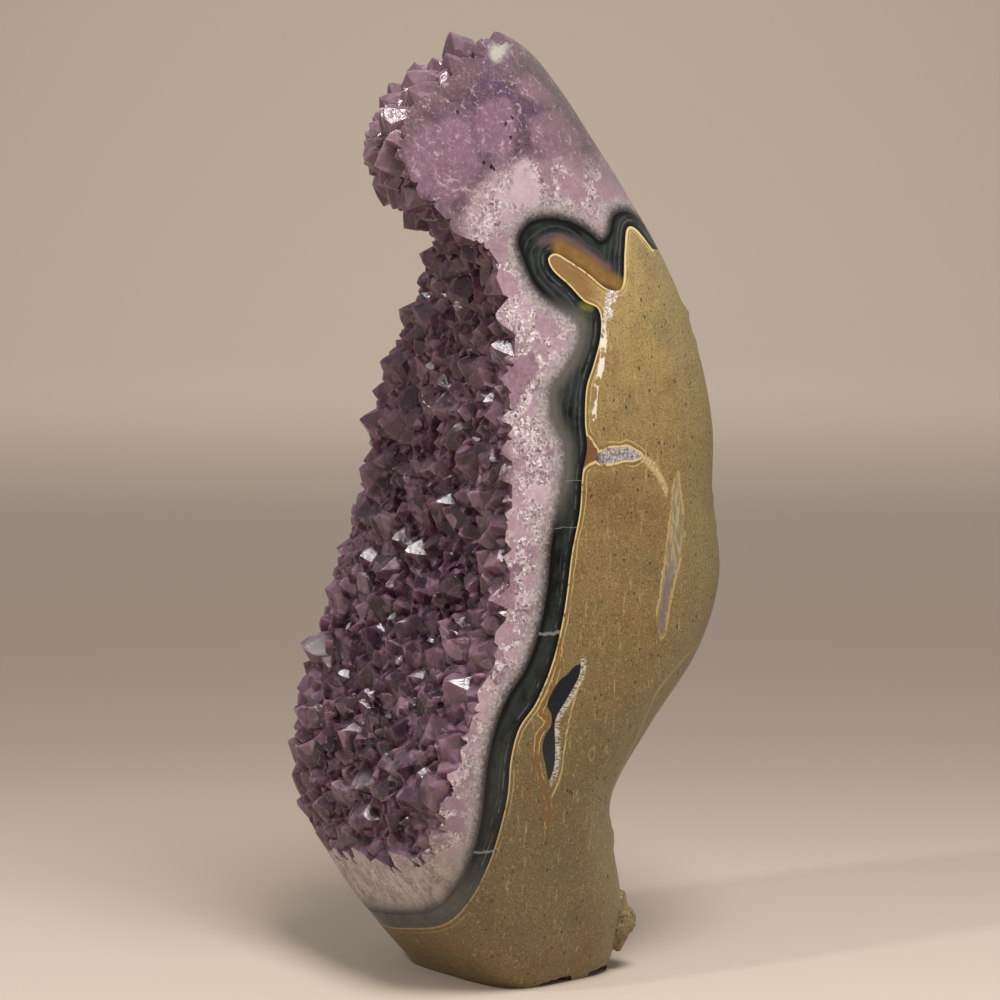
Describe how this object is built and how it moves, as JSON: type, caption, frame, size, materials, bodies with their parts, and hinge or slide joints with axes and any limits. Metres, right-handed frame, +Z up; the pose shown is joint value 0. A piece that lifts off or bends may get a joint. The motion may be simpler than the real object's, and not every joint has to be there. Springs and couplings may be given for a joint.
{
  "type": "polished amethyst cluster",
  "caption": "Free-standing geode slice with a druse of amethyst points, an agate band and a polished basalt back, on a flat sawn base.",
  "frame": {"origin": "on the base plane, under the middle of the cluster's box", "axes": "+Z up; the druse of crystals faces -Y, the basalt back faces +Y and the polished side with the layers in section faces +X"},
  "size_m": [0.0792, 0.0987, 0.2337],
  "materials": {
    "basalt": "olive brown basalt, polished on the cut sides and weathered on the back",
    "agate": "polished banded agate, near black with grey lines",
    "amethyst": "glossy natural crystal faces, deep violet at the points and milky at the root"
  },
  "bodies": {
    "root": {"basalt_matrix": "basalt", "agate_band": "agate", "amethyst_crystals": "amethyst"}
  },
  "joints": []
}
